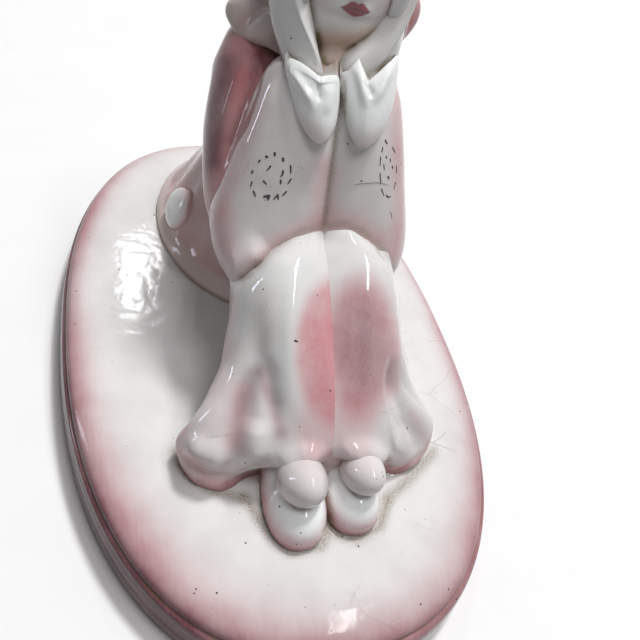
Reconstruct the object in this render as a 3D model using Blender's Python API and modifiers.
"""Glazed porcelain pierrot figurine on an oval plinth.

The figure sits on its plinth with the knees drawn up, the elbows on the knees and the chin in the
hands. It faces -Y, +X is to the viewer's right and +Z is up. All sizes are in metres. Each piece that
the potter cast or modelled by itself is one object, nested in its neighbours with a thin slip seam.
"""

import math

import bmesh
import bpy
from mathutils import Matrix, Vector

# Seam of slip between two pieces that are stuck together
SEAM_GAP = 0.0003

# Oval plinth
PLINTH_LENGTH = 0.228
PLINTH_WIDTH = 0.145
PLINTH_HEIGHT = 0.019
PLINTH_SQUARENESS = 2.33
SLAB_SETBACK = 0.0036
SLAB_EDGE_RADIUS = 0.0030
GROOVE_HEIGHT = 0.0110
GROOVE_DEPTH = 0.0014
GROOVE_WIDTH = 0.0016
BEAD_FOOT_INSET = 0.0022
FOOT_RIM_WIDTH = 0.0080
FOOT_RECESS_DEPTH = 0.0030
VENT_RADIUS = 0.0035
VENT_DEPTH = 0.0080
PLINTH_SEGMENTS = 44

# Trouser legs: heights are above the plinth, x is half of the distance between the pair
KNEE_SPREAD = 0.0135
KNEE_FORWARD = 0.0040
KNEE_HEIGHT = 0.0440
KNEE_HALF_WIDTH = 0.0112
KNEE_HALF_DEPTH = 0.0182
THIGH_LENGTH = 0.0440
THIGH_DROP = 0.0200
THIGH_RADIUS = 0.0130
SHIN_REACH = 0.0580
SHIN_HALF_WIDTH = 0.0105
SHIN_HALF_DEPTH = 0.0198
HEM_HEIGHT = 0.0075
HEM_HALF_WIDTH = 0.0250
HEM_RISE = 0.0175
CLOTH_FALL = 0.0060

# Shoes and the pompoms on them
SHOE_SPREAD = 0.0088
SHOE_HALF_WIDTH = 0.0096
SHOE_LENGTH = 0.0330
SHOE_HEIGHT = 0.0125
SHOE_TUCK = 0.0110
POMPOM_RADIUS = 0.0078
POMPOM_STRETCH = 1.12
POMPOM_SINK = 0.0060
POMPOM_SET_BACK = 0.0137

# Tunic skirt spread on the plinth behind the legs
SKIRT_HALF_WIDTH = 0.0370
SKIRT_HALF_DEPTH = 0.0470
SKIRT_SET_BACK = 0.0530
SKIRT_BAND_HEIGHT = 0.0050
SKIRT_BAND_BULGE = 0.0016
WAIST_HEIGHT = 0.0440
WAIST_HALF_WIDTH = 0.0205
WAIST_HALF_DEPTH = 0.0190
BUTTON_RADIUS = 0.0080
BUTTON_THICKNESS = 0.0036
BUTTON_HEIGHT = 0.0120

# Torso under the sleeves
SHOULDER_HEIGHT = 0.0430
SHOULDER_HALF_WIDTH = 0.0230
CHEST_HALF_DEPTH = 0.0185
TORSO_LEAN = 0.0160

# Sleeves
ELBOW_SPREAD = 0.0190
ELBOW_DROP = 0.0040
UPPER_SLEEVE_RADIUS = 0.0152
SHOULDER_SLEEVE_RADIUS = 0.0108
FOREARM_SLEEVE_HALF_WIDTH = 0.0195
FOREARM_SLEEVE_HALF_DEPTH = 0.0160
WRIST_SPREAD = 0.0084
WRIST_RADIUS = 0.0062

# Cuffs
CUFF_LENGTH = 0.0215
CUFF_HALF_WIDTH = 0.0080
CUFF_NOTCH_DEPTH = 0.0075
CUFF_RECESS = 0.0040

# Head, turned up so that the face looks at the viewer
HEAD_HALF_WIDTH = 0.0180
HEAD_HALF_DEPTH = 0.0195
HEAD_HEIGHT = 0.0460
HEAD_TILT = math.radians(18.0)
CHIN_RISE = 0.0110
CHIN_FORWARD = 0.0250
NECK_RADIUS = 0.0085
NECK_TENON = 0.0080
NOSE_LENGTH = 0.0085
NOSE_HEIGHT = 0.0030
LIP_HALF_WIDTH = 0.0042
LIP_HALF_HEIGHT = 0.0021
LID_HALF_WIDTH = 0.0036
LID_HALF_HEIGHT = 0.0024
EYE_SPREAD = 0.0075
CAP_WALL = 0.0016
CAP_SLOPE = math.radians(32.0)
CAP_FRONT_RISE = 0.0345

# Hands along the cheeks
HAND_HALF_WIDTH = 0.0086
HAND_THICKNESS = 0.0086
HAND_RISE = 0.0310

# Pleated ruff
RUFF_HALF_WIDTH = 0.0285
RUFF_FRONT = 0.0135
RUFF_BACK = 0.0250
RUFF_THICKNESS = 0.0070
RUFF_PLEATS = 9
RUFF_PLEAT_DEPTH = 0.0010
RUFF_DROOP = 0.0030
RUFF_LIFT = 0.0042

# How far a piece reaches over the middle plane before the plane cuts it
MIDDLE_REACH = 0.0050

# Cage resolution
RING_POINTS = 10
OFF_MIDDLE = 0.25
SMOOTH_LEVELS = 1
CUTTER_REACH = 0.300

# Values worked out from the sizes above
SEAT = PLINTH_HEIGHT + SEAM_GAP
KNEE = Vector((KNEE_SPREAD, -KNEE_FORWARD, PLINTH_HEIGHT + KNEE_HEIGHT))
HIP = KNEE + Vector((0.0, THIGH_LENGTH, -THIGH_DROP))
HEM = Vector((KNEE_SPREAD + 0.28 * KNEE_HALF_WIDTH, KNEE.y - SHIN_REACH, PLINTH_HEIGHT + HEM_HEIGHT))
TOE = Vector((SHOE_SPREAD, HEM.y - SHOE_LENGTH + SHOE_TUCK, PLINTH_HEIGHT))
WAIST = Vector((0.0, SKIRT_SET_BACK, PLINTH_HEIGHT + WAIST_HEIGHT))
SHOULDER = WAIST + Vector((0.0, -TORSO_LEAN, SHOULDER_HEIGHT))
ELBOW = Vector((ELBOW_SPREAD, KNEE.y, KNEE.z - ELBOW_DROP))
CHIN = Vector((0.0, SHOULDER.y - CHIN_FORWARD, SHOULDER.z + CHIN_RISE))
WRIST = Vector((WRIST_SPREAD, CHIN.y + 0.3 * WRIST_RADIUS, CHIN.z - 0.8 * WRIST_RADIUS))
HEAD_UP = Vector((0.0, math.sin(HEAD_TILT), math.cos(HEAD_TILT)))
HEAD_BACK = Vector((0.0, math.cos(HEAD_TILT), -math.sin(HEAD_TILT)))
ACROSS = Vector((1.0, 0.0, 0.0))
SIDES = (("left", -1.0), ("right", 1.0))


def clear_scene():
    """Remove every object, so that the script also runs in a file that holds something."""
    for scene_object in list(bpy.data.objects):
        bpy.data.objects.remove(scene_object, do_unlink=True)


def new_collection(name):
    """Return a fresh collection linked to the scene."""
    collection = bpy.data.collections.new(name)
    bpy.context.scene.collection.children.link(collection)
    return collection


def glaze(name, colour, roughness=0.12):
    """Return a glossy glaze material."""
    material = bpy.data.materials.new(name)
    material.use_nodes = True
    shader = material.node_tree.nodes["Principled BSDF"]
    shader.inputs["Base Color"].default_value = (*colour, 1.0)
    shader.inputs["Roughness"].default_value = roughness
    shader.inputs["Metallic"].default_value = 0.0
    return material


def signed_power(value, exponent):
    """Return the value's power with its sign kept."""
    return math.copysign(abs(value) ** exponent, value)


def ring(centre, outer, top, inner=None, bottom=None, squareness=2.0, count=RING_POINTS, phase=0.0):
    """Return a cage ring that reaches its outer, top, inner and bottom edges by four vectors.

    The ring is swollen by as much as the subdivision surface draws it in. The phase turns the points round
    the ring by a share of their spacing, without turning its shape.
    """
    inner = -outer if inner is None else inner
    bottom = -top if bottom is None else bottom
    swell = 1.0 / (2.0 / 3.0 + math.cos(2.0 * math.pi / count) / 3.0)
    points = []
    for step in range(count):
        angle = 2.0 * math.pi * (step + phase) / count
        across = signed_power(math.cos(angle), 2.0 / squareness)
        rise = signed_power(math.sin(angle), 2.0 / squareness)
        side_reach = (outer if across > 0.0 else inner) * abs(across)
        rise_reach = (top if rise > 0.0 else bottom) * abs(rise)
        points.append(centre + (side_reach + rise_reach) * swell)
    return points


def level_ring(centre, half_width, front, back, **shape):
    """Return a ring that lies level, with its own reach to the front and to the back."""
    return ring(centre, Vector((half_width, 0.0, 0.0)), Vector((0.0, back, 0.0)),
                bottom=Vector((0.0, -front, 0.0)), **shape)


def mirrored(points, side):
    """Return the points on the wanted side of the figure."""
    return [Vector((point.x * side, point.y, point.z)) for point in points]


def add_object(name, mesh, collection, material=None):
    """Put a mesh in the scene as a smooth-shaded object."""
    mesh.shade_smooth()
    if material is not None:
        mesh.materials.append(material)
    new_object = bpy.data.objects.new(name, mesh)
    collection.objects.link(new_object)
    return new_object


def cage_mesh(name, rings):
    """Return a closed cage mesh lofted through the rings, with a face over each end."""
    cage = bmesh.new()
    loops = [[cage.verts.new(point) for point in points] for points in rings]
    for first, second in zip(loops, loops[1:]):
        for index in range(len(first)):
            cage.faces.new((first[index - 1], first[index], second[index], second[index - 1]))
    cage.faces.new(loops[0])
    cage.faces.new(loops[-1])
    bmesh.ops.recalc_face_normals(cage, faces=cage.faces)
    mesh = bpy.data.meshes.new(name)
    cage.to_mesh(mesh)
    cage.free()
    return mesh


def add_subdivision(target, levels=SMOOTH_LEVELS):
    """Smooth a cage with a subdivision surface."""
    modifier = target.modifiers.new("smooth", "SUBSURF")
    modifier.levels = levels
    modifier.render_levels = levels
    return modifier


def soft_solid(name, rings, material):
    """Add a part lofted through cage rings and smoothed."""
    part = add_object(name, cage_mesh(name, rings), PARTS, material)
    add_subdivision(part)
    return part


def as_cutter(target):
    """Mark an object as a cutter that is neither rendered nor built."""
    target.hide_render = True
    target.display_type = "WIRE"
    return target


def room_for(source):
    """Return a cutter that leaves the slip seam round a soft solid."""
    cutter = as_cutter(add_object(source.name + "_room", source.data, CUTTERS))
    add_subdivision(cutter)
    swell = cutter.modifiers.new("seam", "DISPLACE")
    swell.mid_level = 0.0
    swell.strength = SEAM_GAP
    return cutter


def box_cutter(name, low, high):
    """Return a box cutter between two corners."""
    box = bmesh.new()
    size = high - low
    placing = Matrix.Translation((low + high) / 2.0) @ Matrix.Diagonal((*size, 1.0))
    bmesh.ops.create_cube(box, size=1.0, matrix=placing)
    mesh = bpy.data.meshes.new(name)
    box.to_mesh(mesh)
    box.free()
    return as_cutter(add_object(name, mesh, CUTTERS))


def combine(target, tool, operation):
    """Join a tool to a part, or cut it away, with a Boolean modifier."""
    modifier = target.modifiers.new(operation.lower(), "BOOLEAN")
    modifier.operation = operation
    modifier.object = tool


def cut(target, *cutters):
    """Cut each cutter from a part."""
    for cutter in cutters:
        combine(target, cutter, "DIFFERENCE")


def oval_point(angle, inset, height):
    """Return a point of the plinth's outline, drawn in along its normal by the inset."""
    half_width = PLINTH_WIDTH / 2.0
    half_length = PLINTH_LENGTH / 2.0
    power = 2.0 / PLINTH_SQUARENESS
    x = signed_power(math.cos(angle), power)
    y = signed_power(math.sin(angle), power)
    normal = Vector((abs(x) ** (PLINTH_SQUARENESS - 1.0) * math.copysign(1.0, x) / half_width,
                     abs(y) ** (PLINTH_SQUARENESS - 1.0) * math.copysign(1.0, y) / half_length, 0.0))
    normal.normalize()
    return Vector((x * half_width, y * half_length, height)) - normal * inset


def plinth_profile():
    """Return the plinth's edge as (inset, height) steps from the underside to the top."""
    top = PLINTH_HEIGHT
    low_groove = GROOVE_HEIGHT - GROOVE_WIDTH / 2.0
    high_groove = GROOVE_HEIGHT + GROOVE_WIDTH / 2.0
    steps = [(BEAD_FOOT_INSET + FOOT_RIM_WIDTH, FOOT_RECESS_DEPTH), (BEAD_FOOT_INSET + FOOT_RIM_WIDTH, 0.0),
             (BEAD_FOOT_INSET, 0.0)]
    for share in (0.18, 0.5, 0.85):
        swell = math.sin(math.pi * share)
        steps.append((BEAD_FOOT_INSET * (1.0 - swell ** 0.7), low_groove * share))
    steps.append((SLAB_SETBACK + GROOVE_DEPTH, low_groove + 0.2 * GROOVE_WIDTH))
    steps.append((SLAB_SETBACK + GROOVE_DEPTH, high_groove))
    steps.append((SLAB_SETBACK, high_groove + 0.3 * GROOVE_WIDTH))
    for turn in (0.0, 30.0, 60.0, 90.0):
        bend = math.radians(turn)
        inset = SLAB_SETBACK + SLAB_EDGE_RADIUS * (1.0 - math.cos(bend))
        steps.append((inset, top - SLAB_EDGE_RADIUS * (1.0 - math.sin(bend))))
    return steps


def build_plinth():
    """Add the oval plinth with its grooved rim, its foot recess and the vent of the hollow cast."""
    angles = [2.0 * math.pi * step / PLINTH_SEGMENTS for step in range(PLINTH_SEGMENTS)]
    rings = [[oval_point(angle, inset, height) for angle in angles] for inset, height in plinth_profile()]
    plinth = add_object("plinth", cage_mesh("plinth", rings), PARTS, WHITE_GLAZE)
    plinth.data.set_sharp_from_angle(angle=math.radians(40.0))
    vent = bmesh.new()
    bmesh.ops.create_cone(vent, cap_ends=True, segments=16, radius1=VENT_RADIUS, radius2=VENT_RADIUS,
                          depth=2.0 * VENT_DEPTH)
    mesh = bpy.data.meshes.new("vent")
    vent.to_mesh(mesh)
    vent.free()
    vent_cutter = as_cutter(add_object("vent_cutter", mesh, CUTTERS))
    vent_cutter.location = Vector((0.0, SKIRT_SET_BACK, FOOT_RECESS_DEPTH))
    cut(plinth, vent_cutter)
    return plinth


def leg_rings():
    """Return the cage of one trouser leg, from the hip over the knee to the flared hem.

    The cloth behind the shin falls down to the plinth, as on a cast figure, so every ring reaches below it.
    """
    shin = HEM - KNEE
    thigh = HIP - KNEE
    shin_up = Vector((0.0, shin.z, -shin.y)).normalized()
    knee_up = Vector((0.0, -0.42, 1.0)).normalized()
    thigh_up = Vector((0.0, -thigh.z, thigh.y)).normalized()
    rings = [ring(HIP, ACROSS * THIGH_RADIUS * 0.7, thigh_up * THIGH_RADIUS * 0.7)]
    for centre, half_width, half_depth, up in ((KNEE + thigh * 0.70, THIGH_RADIUS, THIGH_RADIUS, thigh_up),
                                               (KNEE, KNEE_HALF_WIDTH, KNEE_HALF_DEPTH * 1.06, knee_up),
                                               (KNEE + shin * 0.42, KNEE_HALF_WIDTH, KNEE_HALF_DEPTH, shin_up)):
        fall = Vector((-0.8 * centre.x, 0.0, PLINTH_HEIGHT - CLOTH_FALL - centre.z))
        rings.append(ring(centre, ACROSS * half_width, up * half_depth, inner=-ACROSS * (centre.x + MIDDLE_REACH),
                          bottom=fall, squareness=2.5))
    for share, growth in ((0.78, 0.40), (1.03, 1.0), (1.10, 0.92)):
        centre = KNEE + shin * share
        reach = SHIN_HALF_WIDTH + (HEM_HALF_WIDTH - SHIN_HALF_WIDTH) * growth
        rise = SHIN_HALF_DEPTH + (HEM_RISE - SHIN_HALF_DEPTH) * growth
        outer = Vector((reach, 0.30 * reach * growth, 0.0))
        top = Vector((-0.25 * rise, -0.18 * rise, 0.86 * rise))
        inner = Vector((-centre.x - MIDDLE_REACH, -0.10 * reach, 0.25 * rise))
        bottom = Vector((-0.45 * rise, -0.60 * rise * growth, -rise))
        rings.append(ring(centre, outer, top, inner, bottom, squareness=2.3))
    return rings


def shoe_rings():
    """Return the cage of one shoe, from the ankle plug under the hem to the round toe."""
    heel = TOE + Vector((0.0, SHOE_LENGTH, 0.0))
    stations = ((0.00, 0.55, 0.60), (0.10, 0.75, 0.90), (0.35, 0.86, 1.00), (0.60, 1.00, 0.92),
                (0.84, 0.92, 0.78), (0.97, 0.55, 0.50))
    rings = []
    for share, width, height in stations:
        centre = heel.lerp(TOE, share) + Vector((0.0, 0.0, 0.12 * SHOE_HEIGHT))
        top = Vector((0.0, 0.0, SHOE_HEIGHT * (height - 0.12)))
        rings.append(ring(centre, Vector((SHOE_HALF_WIDTH * width, 0.0, 0.0)), top,
                          bottom=Vector((0.0, 0.0, -0.5 * SHOE_HEIGHT))))
    return rings


def build_pompom(name, side):
    """Add the egg-shaped pompom that sits on a shoe, tucked under the trouser hem."""
    ball = bmesh.new()
    bmesh.ops.create_uvsphere(ball, u_segments=16, v_segments=8, radius=POMPOM_RADIUS)
    height = PLINTH_HEIGHT + SHOE_HEIGHT + POMPOM_RADIUS - POMPOM_SINK
    centre = Vector((side * SHOE_SPREAD, TOE.y + POMPOM_SET_BACK, height))
    tilt = Matrix.Rotation(math.radians(-35.0), 4, "X")
    stretch = Matrix.Diagonal((1.0, POMPOM_STRETCH, 1.0, 1.0))
    bmesh.ops.transform(ball, matrix=Matrix.Translation(centre) @ tilt @ stretch, verts=ball.verts)
    mesh = bpy.data.meshes.new(name)
    ball.to_mesh(mesh)
    ball.free()
    return add_object(name, mesh, PARTS, WHITE_GLAZE)


def room_for_pompom(pompom):
    """Return a cutter that leaves the slip seam round a pompom."""
    cutter = as_cutter(add_object(pompom.name + "_room", pompom.data, CUTTERS))
    swell = cutter.modifiers.new("seam", "DISPLACE")
    swell.mid_level = 0.0
    swell.strength = SEAM_GAP
    return cutter


def skirt_centre(height):
    """Return the centre of the skirt at a height above the plinth."""
    return Vector((0.0, SKIRT_SET_BACK, PLINTH_HEIGHT + height))


def skirt_reach(height):
    """Return the skirt's half width and half depth at a height above the plinth."""
    share = height / WAIST_HEIGHT
    flare = (1.0 - share) ** 1.35
    return (WAIST_HALF_WIDTH + (SKIRT_HALF_WIDTH - WAIST_HALF_WIDTH) * flare,
            WAIST_HALF_DEPTH + (SKIRT_HALF_DEPTH - WAIST_HALF_DEPTH) * flare)


def skirt_rings():
    """Return the cage of the tunic skirt, with the rolled band at its hem."""
    rings = []
    for share, bulge in ((-0.9, 0.0), (0.25, 1.0), (0.75, 1.0), (1.15, 0.0)):
        height = SKIRT_BAND_HEIGHT * share
        half_width, half_depth = skirt_reach(max(height, 0.0))
        grow = SKIRT_BAND_BULGE * bulge
        rings.append(level_ring(skirt_centre(height), half_width + grow, half_depth + grow,
                                half_depth + grow, count=12, phase=OFF_MIDDLE))
    for share in (0.35, 0.68, 1.00):
        height = WAIST_HEIGHT * share
        half_width, half_depth = skirt_reach(height)
        rings.append(level_ring(skirt_centre(height), half_width, half_depth, half_depth, count=12,
                                phase=OFF_MIDDLE))
    return rings


def build_button(name, bearing):
    """Add one of the flat round buttons on the skirt, at a compass bearing round it."""
    half_width, half_depth = skirt_reach(BUTTON_HEIGHT)
    outward = Vector((math.sin(bearing) * half_width, math.cos(bearing) * half_depth, 0.0))
    centre = skirt_centre(BUTTON_HEIGHT) + outward
    normal = Vector((outward.x / half_width ** 2, outward.y / half_depth ** 2, 0.0)).normalized()
    slope = (SKIRT_HALF_WIDTH - WAIST_HALF_WIDTH) / WAIST_HEIGHT
    normal = (normal + Vector((0.0, 0.0, slope))).normalized()
    disc = bmesh.new()
    bmesh.ops.create_uvsphere(disc, u_segments=16, v_segments=6, radius=BUTTON_RADIUS)
    turn = normal.to_track_quat("Z", "Y").to_matrix().to_4x4()
    flatten = Matrix.Diagonal((1.0, 1.0, BUTTON_THICKNESS / BUTTON_RADIUS, 1.0))
    bmesh.ops.transform(disc, matrix=Matrix.Translation(centre) @ turn @ flatten, verts=disc.verts)
    mesh = bpy.data.meshes.new(name)
    disc.to_mesh(mesh)
    disc.free()
    return add_object(name, mesh, PARTS, WHITE_GLAZE)


def torso_rings():
    """Return the cage of the blouse's body, from its plug in the skirt to the neck."""
    stations = ((-0.20, 0.62, 0.66), (-0.06, 0.90, 1.02), (0.36, 1.04, 1.18), (0.72, 1.04, 1.08),
                (0.95, 0.84, 0.84), (1.03, 0.50, 0.55))
    rings = []
    for share, width, depth in stations:
        centre = WAIST.lerp(SHOULDER, share)
        rings.append(level_ring(centre, SHOULDER_HALF_WIDTH * width, CHEST_HALF_DEPTH * depth * 0.8,
                                CHEST_HALF_DEPTH * depth, phase=OFF_MIDDLE))
    return rings


def upper_sleeve_rings():
    """Return the cage of an upper sleeve, from the shoulder down to the elbow on the knee."""
    shoulder = Vector((SHOULDER_HALF_WIDTH - 0.3 * SHOULDER_SLEEVE_RADIUS, SHOULDER.y,
                       SHOULDER.z - 0.5 * SHOULDER_SLEEVE_RADIUS))
    elbow = ELBOW + Vector((0.0, 0.25 * UPPER_SLEEVE_RADIUS, 0.0))
    along = elbow - shoulder
    up = Vector((0.0, along.z, -along.y)).normalized()
    rings = []
    for share, size in ((-0.16, 0.50), (-0.04, 0.88), (0.25, 1.0), (0.60, 1.0), (0.88, 0.84), (1.05, 0.50)):
        blend = min(max(share, 0.0), 1.0)
        radius = SHOULDER_SLEEVE_RADIUS + (UPPER_SLEEVE_RADIUS - SHOULDER_SLEEVE_RADIUS) * blend ** 0.6
        rings.append(ring(shoulder + along * share, ACROSS * radius * size, up * radius * size * 1.12))
    return rings


def forearm_sleeve_rings():
    """Return the cage of a forearm sleeve, from its edge over the knee up to the wrist."""
    foot = Vector((ELBOW_SPREAD - 0.25 * FOREARM_SLEEVE_HALF_WIDTH, ELBOW.y, ELBOW.z))
    top = WRIST + Vector((0.0, 0.5 * WRIST_RADIUS, 0.0))
    stations = ((-0.14, 0.50, 0.70, 2.0), (-0.02, 0.80, 1.0, 2.5), (0.16, 0.98, 0.98, 2.5), (0.38, 0.86, 0.90, 2.2),
                (0.62, 0.68, 0.85, 2.0), (0.80, 0.52, 0.70, 2.0), (0.90, 0.30, 0.45, 2.0))
    rings = []
    for share, width, depth, squareness in stations:
        centre = foot.lerp(top, share)
        front = Vector((0.0, -FOREARM_SLEEVE_HALF_DEPTH * depth, 0.0))
        rings.append(ring(centre, ACROSS * FOREARM_SLEEVE_HALF_WIDTH * width, -front * 0.9,
                          inner=-ACROSS * (centre.x + MIDDLE_REACH), bottom=front, squareness=squareness))
    return rings


def cuff_rings():
    """Return the cage of a cuff that hangs to a point and opens upwards with a notched rim."""
    along = Vector((0.0, 0.74, 0.67)).normalized()
    out = Vector((0.0, -0.67, 0.74)).normalized()
    rim = WRIST + out * 0.35 * WRIST_RADIUS
    rings = []
    for share, width, depth in ((-1.00, 0.34, 0.38), (-0.80, 0.64, 0.66), (-0.40, 0.92, 0.90), (0.0, 1.0, 0.95)):
        lean = Vector((-0.25 * CUFF_HALF_WIDTH * share * share, 0.0, 0.0))
        centre = rim + along * CUFF_LENGTH * share + lean
        rings.append(ring(centre, ACROSS * CUFF_HALF_WIDTH * width, out * WRIST_RADIUS * depth))
    notch = []
    for point in rings.pop():
        lateral = abs(point.x - rim.x) / CUFF_HALF_WIDTH
        facing = (point - rim).dot(out)
        dip = CUFF_NOTCH_DEPTH * max(0.0, 1.0 - lateral * 1.1) if facing > 0.0 else 0.0
        notch.append(point - along * dip)
    rings.append(notch)
    rings.append([rim + (point - rim) * 0.72 for point in notch])
    rings.append([rim + (point - rim) * 0.62 - along * CUFF_RECESS for point in notch])
    return rings


def head_point(across, back, up):
    """Return a point given in the tilted head's own directions, measured from the chin."""
    return CHIN + Vector((across, 0.0, 0.0)) + HEAD_BACK * back + HEAD_UP * up


def head_rings():
    """Return the cage of the head, from the neck tenon to the crown."""
    tenon = SHOULDER - Vector((0.0, 0.0, NECK_TENON))
    rings = [level_ring(tenon, NECK_RADIUS * 0.8, NECK_RADIUS * 0.8, NECK_RADIUS * 0.8)]
    for rise in (0.3 * NECK_TENON, NECK_TENON + 0.35 * CHIN_RISE):
        rings.append(level_ring(tenon + Vector((0.0, 0.0, rise)), NECK_RADIUS, NECK_RADIUS, NECK_RADIUS))
    for up, width, front, back in ((0.02, 0.40, 0.30, 0.70), (0.10, 0.66, 0.10, 1.05), (0.26, 0.90, 0.03, 1.55),
                                   (0.45, 1.0, 0.02, 1.88), (0.64, 0.98, 0.05, 2.0), (0.82, 0.84, 0.20, 1.86),
                                   (0.95, 0.52, 0.50, 1.45)):
        middle = (front + back) / 2.0 * HEAD_HALF_DEPTH
        reach = (back - front) / 2.0 * HEAD_HALF_DEPTH
        rings.append(ring(head_point(0.0, middle, up * HEAD_HEIGHT), ACROSS * HEAD_HALF_WIDTH * width,
                          HEAD_BACK * reach))
    return rings


def face_pad(name, across, up, sink, half_width, half_height, half_depth):
    """Return a small pad of slip for the face, lying on the head's front."""
    pad = bmesh.new()
    bmesh.ops.create_uvsphere(pad, u_segments=10, v_segments=6, radius=1.0)
    size = Matrix.Diagonal((half_width, half_depth, half_height, 1.0))
    turn = Matrix.Rotation(-HEAD_TILT, 4, "X")
    place = Matrix.Translation(head_point(across, sink, up))
    bmesh.ops.transform(pad, matrix=place @ turn @ size, verts=pad.verts)
    mesh = bpy.data.meshes.new(name)
    pad.to_mesh(mesh)
    pad.free()
    return as_cutter(add_object(name, mesh, CUTTERS))


def build_head():
    """Add the head with its neck tenon, nose, lips and lowered eyelids."""
    head = soft_solid("head", head_rings(), WHITE_GLAZE)
    nose_middle = 0.40 * HEAD_HEIGHT
    nose = face_pad("nose", 0.0, nose_middle, 0.05 * HEAD_HALF_DEPTH, 0.30 * NOSE_LENGTH, 0.5 * NOSE_LENGTH,
                    NOSE_HEIGHT)
    lips = face_pad("lips", 0.0, 0.250 * HEAD_HEIGHT, 0.08 * HEAD_HALF_DEPTH, LIP_HALF_WIDTH, LIP_HALF_HEIGHT,
                    LIP_HALF_HEIGHT)
    lids = [face_pad("eyelid", spread, 0.53 * HEAD_HEIGHT, 0.12 * HEAD_HALF_DEPTH, LID_HALF_WIDTH,
                     LID_HALF_HEIGHT, LID_HALF_HEIGHT) for spread in (-EYE_SPREAD, EYE_SPREAD)]
    for pad in (nose, lips, *lids):
        combine(head, pad, "UNION")
    return head


def cap_slope_cutter(name, drop):
    """Return the box under the sloping plane at which the cap ends."""
    low = Vector((-CUTTER_REACH, -CUTTER_REACH, -2.0 * CUTTER_REACH))
    cutter = box_cutter(name, low, Vector((CUTTER_REACH, CUTTER_REACH, -drop)))
    cutter.location = head_point(0.0, 0.0, CAP_FRONT_RISE)
    cutter.rotation_euler = (-HEAD_TILT - CAP_SLOPE, 0.0, 0.0)
    return cutter


def build_cap(head_room):
    """Add the skull cap, a shell over the crown that slopes down to the nape, and return it with its room."""
    head_mesh = head_room.data
    cap = add_object("skull_cap", head_mesh.copy(), PARTS, PINK_GLAZE)
    cap.data.materials.pop(index=0)
    room = as_cutter(add_object("skull_cap_room", head_mesh, CUTTERS))
    for shell, growth, slope_name, drop in ((cap, SEAM_GAP + CAP_WALL, "cap_slope", 0.0),
                                            (room, 2.0 * SEAM_GAP + CAP_WALL, "cap_room_slope", SEAM_GAP)):
        add_subdivision(shell)
        swell = shell.modifiers.new("wall", "DISPLACE")
        swell.mid_level = 0.0
        swell.strength = growth
        cut(shell, cap_slope_cutter(slope_name, drop))
    cut(cap, head_room)
    return cap, room


def hand_rings():
    """Return the cage of a hand, from the wrist plug in the cuff to the fingertips on the temple."""
    palm = head_point(0.80 * HEAD_HALF_WIDTH, 0.34 * HEAD_HALF_DEPTH, 0.08 * HEAD_HEIGHT)
    cheek = head_point(0.80 * HEAD_HALF_WIDTH, 0.36 * HEAD_HALF_DEPTH, 0.30 * HEAD_HEIGHT)
    temple = head_point(0.97 * HEAD_HALF_WIDTH, 0.48 * HEAD_HALF_DEPTH, HAND_RISE)
    turn = math.radians(54.0)
    broad = Vector((math.cos(turn), math.sin(turn), 0.0))
    thick = Vector((math.sin(turn), -math.cos(turn), 0.0))
    rings = []
    for low, high, share, width, thickness in ((WRIST, palm, -0.4, 0.50, 0.60), (WRIST, palm, 0.0, 0.70, 0.85),
                                               (WRIST, palm, 0.6, 0.94, 1.0), (palm, cheek, 0.2, 1.0, 1.0),
                                               (palm, cheek, 0.9, 1.0, 0.95), (cheek, temple, 0.6, 0.90, 0.75),
                                               (cheek, temple, 1.0, 0.50, 0.45)):
        rings.append(ring(low.lerp(high, share), broad * HAND_HALF_WIDTH * width,
                          thick * HAND_THICKNESS / 2.0 * thickness))
    return rings


def build_ruff():
    """Add the pleated ruff that lies on the shoulders round the neck."""
    bore = NECK_RADIUS + SEAM_GAP
    bpy.ops.mesh.primitive_torus_add(major_segments=RUFF_PLEATS * 4, minor_segments=6,
                                     major_radius=1.0, minor_radius=0.5)
    ruff = bpy.context.object
    for vertex in ruff.data.vertices:
        x, y, z = vertex.co
        bearing = math.atan2(y, x)
        outward = math.hypot(x, y) - 0.5
        reach_x = bore + (RUFF_HALF_WIDTH - bore) * outward
        reach_y = bore + ((RUFF_BACK if y > 0.0 else RUFF_FRONT) - bore) * outward
        pleat = RUFF_PLEAT_DEPTH * math.cos(RUFF_PLEATS * bearing) * outward
        vertex.co.x = math.cos(bearing) * (reach_x + pleat)
        vertex.co.y = math.sin(bearing) * (reach_y + pleat)
        vertex.co.z = z * RUFF_THICKNESS - RUFF_DROOP * outward ** 2 + 0.6 * pleat
    ruff.data.transform(Matrix.Translation(SHOULDER + Vector((0.0, 0.0, RUFF_LIFT))))
    ruff.data.shade_smooth()
    ruff.data.materials.append(PINK_GLAZE)
    ruff.name = "ruff"
    ruff.data.name = "ruff"
    for collection in list(ruff.users_collection):
        collection.objects.unlink(ruff)
    PARTS.objects.link(ruff)
    return ruff


def build_side(label, side):
    """Add the leg, shoe, pompom, sleeves, cuff and hand of one side and return them by name."""
    pieces = {}
    pieces["leg"] = soft_solid(f"trouser_leg_{label}", [mirrored(r, side) for r in leg_rings()], BLUSH_GLAZE)
    pieces["shoe"] = soft_solid(f"shoe_{label}", [mirrored(r, side) for r in shoe_rings()], WHITE_GLAZE)
    pieces["pompom"] = build_pompom(f"shoe_pompom_{label}", side)
    pieces["upper"] = soft_solid(f"upper_sleeve_{label}", [mirrored(r, side) for r in upper_sleeve_rings()],
                                 PINK_GLAZE)
    pieces["fore"] = soft_solid(f"forearm_sleeve_{label}", [mirrored(r, side) for r in forearm_sleeve_rings()],
                                WHITE_GLAZE)
    pieces["cuff"] = soft_solid(f"cuff_{label}", [mirrored(r, side) for r in cuff_rings()], WHITE_GLAZE)
    pieces["hand"] = soft_solid(f"hand_{label}", [mirrored(r, side) for r in hand_rings()], WHITE_GLAZE)
    return pieces


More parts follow.
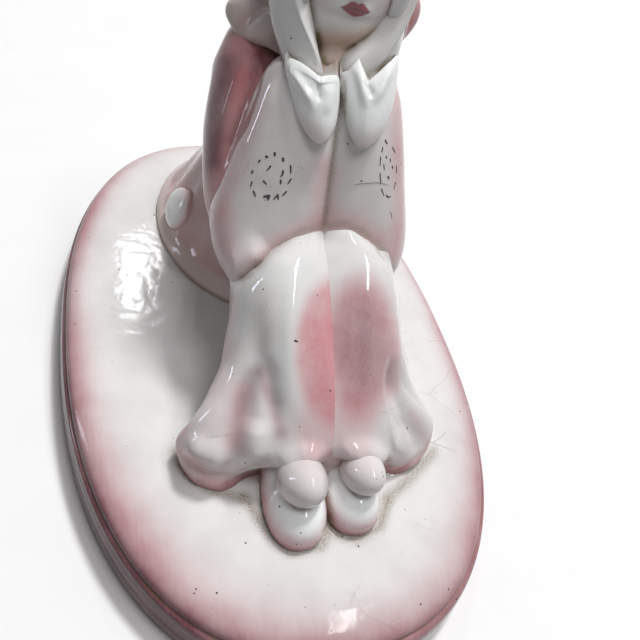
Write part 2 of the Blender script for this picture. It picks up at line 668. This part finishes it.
def middle_cutter(label, side):
    """Return the box that keeps a side's pieces off the middle plane by half a seam."""
    low = Vector((-CUTTER_REACH, -CUTTER_REACH, -CUTTER_REACH))
    high = Vector((SEAM_GAP / 2.0, CUTTER_REACH, CUTTER_REACH))
    if side < 0.0:
        low.x, high.x = -high.x, -low.x
    return box_cutter(f"middle_{label}", low, high)


def build_figure():
    """Add all pieces of the figure and nest each one in its neighbours."""
    floor = box_cutter("floor", Vector((-CUTTER_REACH, -CUTTER_REACH, -CUTTER_REACH)),
                       Vector((CUTTER_REACH, CUTTER_REACH, SEAT)))
    skirt = soft_solid("tunic_skirt", skirt_rings(), PINK_GLAZE)
    torso = soft_solid("blouse", torso_rings(), PINK_GLAZE)
    head = build_head()
    ruff = build_ruff()
    head_room = room_for(head)
    cap_room = build_cap(head_room)[1]
    torso_room = room_for(torso)
    skirt_room = room_for(skirt)
    cut(skirt, floor, torso_room)
    cut(ruff, torso_room, head_room)
    cut(torso, head_room)
    for label, side in SIDES:
        middle = middle_cutter(label, side)
        pieces = build_side(label, side)
        rooms = {name: room_for(pieces[name]) for name in ("leg", "shoe", "upper", "fore", "cuff", "hand")}
        pompom_room = room_for_pompom(pieces["pompom"])
        cut(pieces["shoe"], floor, middle)
        cut(pieces["pompom"], rooms["shoe"], middle)
        cut(pieces["leg"], floor, middle, skirt_room, rooms["shoe"], pompom_room, rooms["fore"], rooms["upper"])
        cut(pieces["fore"], middle, rooms["upper"], rooms["cuff"], rooms["hand"])
        cut(pieces["cuff"], middle, rooms["hand"], head_room)
        cut(pieces["hand"], head_room, middle, cap_room)
        cut(torso, rooms["upper"], rooms["fore"])
        cut(ruff, rooms["upper"])
    for name, bearing in (("left", -100.0), ("right", 100.0), ("back", 0.0)):
        button = build_button(f"skirt_button_{name}", math.radians(bearing))
        cut(button, skirt_room)


clear_scene()
PARTS = new_collection("pierrot_figurine")
CUTTERS = new_collection("cutters")
WHITE_GLAZE = glaze("white_glaze", (0.86, 0.84, 0.82))
PINK_GLAZE = glaze("pink_glaze", (0.80, 0.45, 0.47))
BLUSH_GLAZE = glaze("blush_glaze", (0.86, 0.74, 0.73))
build_plinth()
build_figure()
